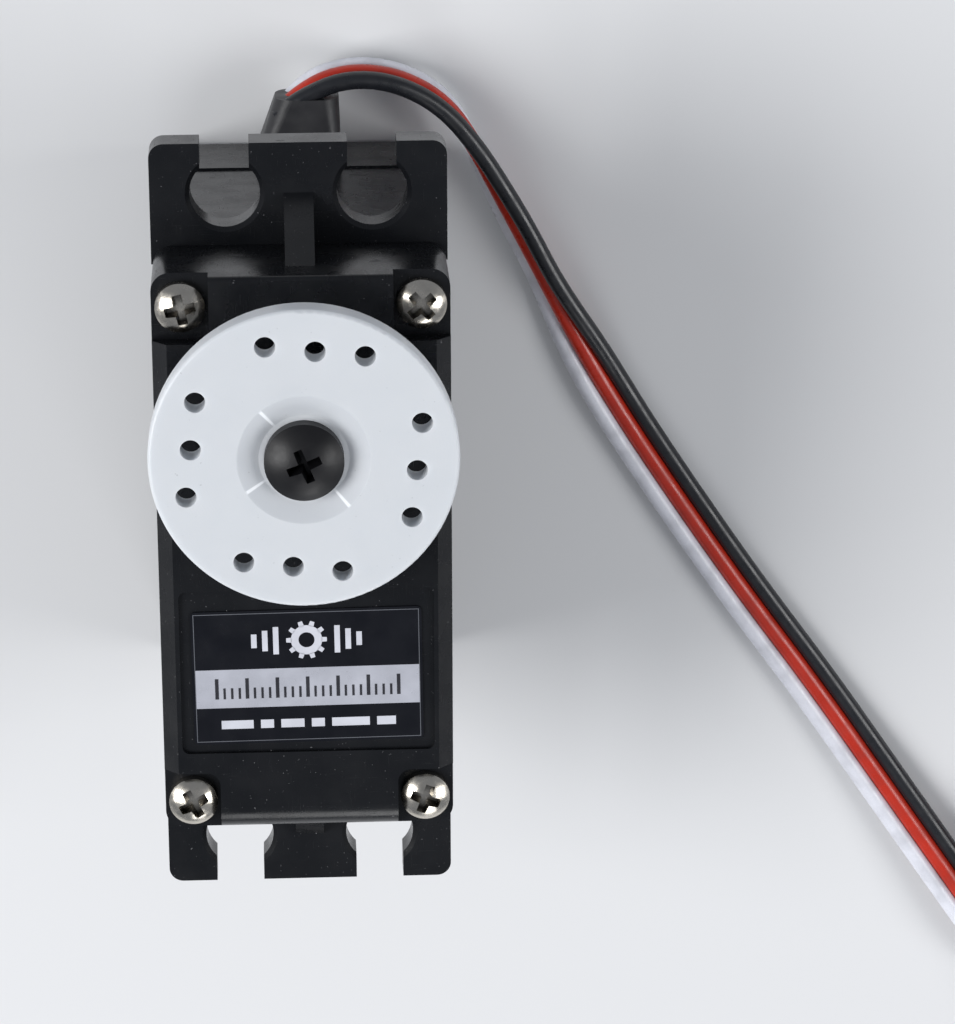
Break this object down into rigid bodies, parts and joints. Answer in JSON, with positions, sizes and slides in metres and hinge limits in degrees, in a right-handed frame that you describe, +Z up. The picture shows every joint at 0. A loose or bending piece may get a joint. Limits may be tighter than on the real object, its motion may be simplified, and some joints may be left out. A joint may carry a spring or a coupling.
{
  "type": "servo motor",
  "caption": "Standard size hobby servo motor with mounting ears, round horn, geared motor inside and a flat lead to a plug.",
  "frame": {"origin": "centre of the case's underside, with the lead and its strain relief left out of the measure", "axes": "+Z up along the output shaft, +Y along the case towards the output shaft and the lead, +X across the case"},
  "size_m": [0.1118, 0.0908, 0.0429],
  "materials": {
    "case_black": "glossy injection-moulded black plastic",
    "label_film": "printed film, glossy",
    "screw_nickel": "nickel-plated steel",
    "screw_black": "black oxide, glossy",
    "horn_nylon": "satin white nylon",
    "gear_nylon": "satin natural nylon",
    "bush_bronze": "sintered bronze",
    "pin_steel": "ground steel",
    "motor_steel": "plated sheet steel",
    "motor_plastic": "moulded thermoset",
    "magnet_ferrite": "sintered ferrite",
    "winding_wire": "enamelled copper",
    "contact_metal": "tinned brass",
    "pot_plastic": "moulded phenolic",
    "track_carbon": "printed carbon",
    "board_laminate": "solder-resist green",
    "component_epoxy": "moulded epoxy",
    "capacitor_can": "plain can",
    "resistor_ceramic": "chip resistor",
    "relief_rubber": "smooth soft rubber",
    "lead_insulation": "soft vinyl insulation in three colours, seen here as the outer core's black",
    "tie_plastic": "soft strap",
    "connector_plastic": "moulded connector housing"
  },
  "bodies": {
    "case": {"bottom_cover": "case_black", "middle_case": "case_black", "top_cover": "case_black", "label": "label_film", "case_screws": "screw_nickel", "output_bushing": "bush_bronze", "idler_pin": "pin_steel", "motor_can": "motor_steel", "motor_end_cap": "motor_plastic", "motor_bushes": "bush_bronze", "motor_magnets": "magnet_ferrite", "motor_brushes": "contact_metal", "motor_terminals": "contact_metal", "motor_screws": "screw_nickel", "pot_housing": "pot_plastic", "pot_base": "pot_plastic", "pot_track": "track_carbon", "pot_terminals": "contact_metal", "pot_leads": "lead_insulation", "circuit_board": "board_laminate", "control_chip": "component_epoxy", "capacitor": "capacitor_can", "driver_transistors": "component_epoxy", "resistors": "resistor_ceramic", "strain_relief": "relief_rubber", "lead_cores": "lead_insulation", "servo_lead": "lead_insulation", "lead_coil": "lead_insulation", "coil_tie": "tie_plastic", "connector_housing": "connector_plastic", "connector_contacts": "contact_metal"},
    "rotor": {"armature_core": "motor_steel", "armature_windings": "winding_wire", "commutator": "winding_wire", "motor_shaft": "pin_steel", "motor_pinion": "contact_metal"},
    "first_gear": {"first_gear": "gear_nylon"},
    "second_gear": {"second_gear": "gear_nylon"},
    "third_gear": {"third_gear": "gear_nylon"},
    "output": {"output_gear": "gear_nylon", "horn": "horn_nylon", "horn_screw": "screw_black", "pot_shaft": "pin_steel", "pot_wiper": "contact_metal"}
  },
  "joints": [
    {"name": "motor_spin", "type": "hinge", "parent": "case", "child": "rotor", "pos_m": [0, -0.0104, 0.03], "axis": [0, 0, 1], "range_deg": [-23328, 23328]},
    {"name": "first_gear_spin", "type": "hinge", "parent": "case", "child": "first_gear", "pos_m": [0, -0.0008, 0.03], "axis": [0, 0, 1], "range_deg": [-4320, 4320]},
    {"name": "second_gear_spin", "type": "hinge", "parent": "case", "child": "second_gear", "pos_m": [0, 0.0092, 0.03], "axis": [0, 0, 1], "range_deg": [-1080, 1080]},
    {"name": "third_gear_spin", "type": "hinge", "parent": "case", "child": "third_gear", "pos_m": [0, -0.0008, 0.03], "axis": [0, 0, 1], "range_deg": [-270, 270]},
    {"name": "output_spin", "type": "hinge", "parent": "case", "child": "output", "pos_m": [0, 0.0092, 0.03], "axis": [0, 0, 1], "range_deg": [-90, 90]}
  ],
  "couplings": [
    {"joint": "first_gear_spin", "follows": "motor_spin", "ratio": -0.18519},
    {"joint": "second_gear_spin", "follows": "motor_spin", "ratio": 0.046296},
    {"joint": "third_gear_spin", "follows": "motor_spin", "ratio": -0.011574},
    {"joint": "output_spin", "follows": "motor_spin", "ratio": 0.003858}
  ]
}
